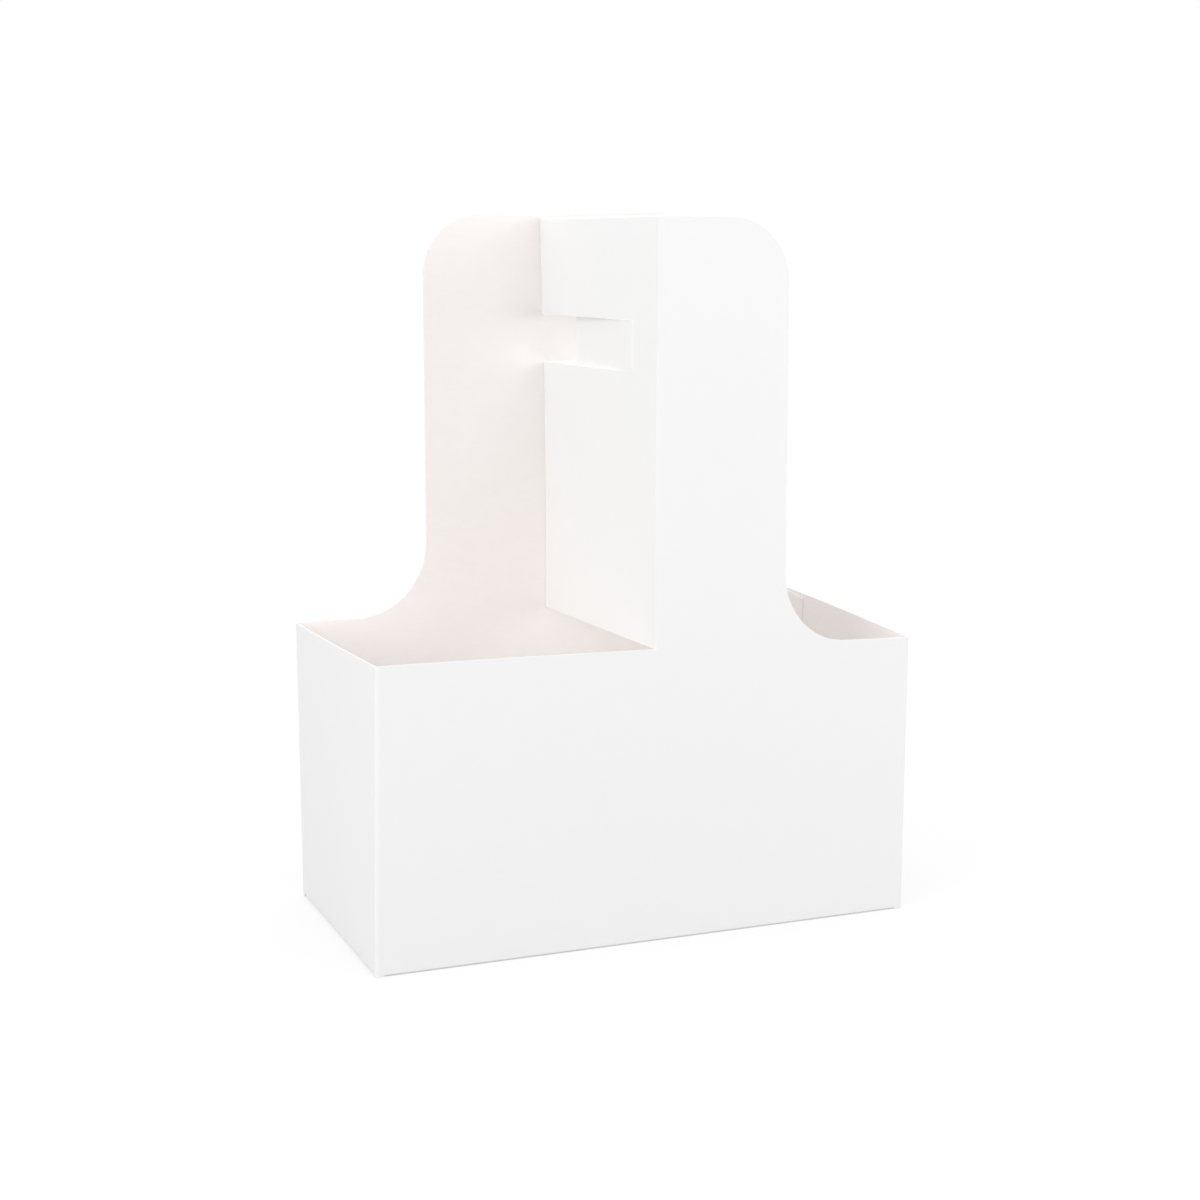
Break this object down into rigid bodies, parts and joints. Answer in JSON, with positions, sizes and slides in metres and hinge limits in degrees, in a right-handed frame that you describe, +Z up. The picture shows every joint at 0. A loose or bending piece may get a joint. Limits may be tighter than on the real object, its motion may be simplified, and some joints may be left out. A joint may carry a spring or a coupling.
{
  "type": "cup carrier",
  "caption": "Folded white paperboard cup carrier: an open carton with tall rounded wings and a glued divider with a hand slot as its handle.",
  "frame": {"origin": "centre of the bottom, on the surface that the carrier stands on", "axes": "+Z up along the handle, +X along the front wall to the right, +Y from the front wall to the back wall"},
  "size_m": [0.2, 0.102, 0.2522],
  "materials": {
    "paperboard": "matte"
  },
  "bodies": {
    "root": {"carrier": "paperboard"}
  },
  "joints": []
}
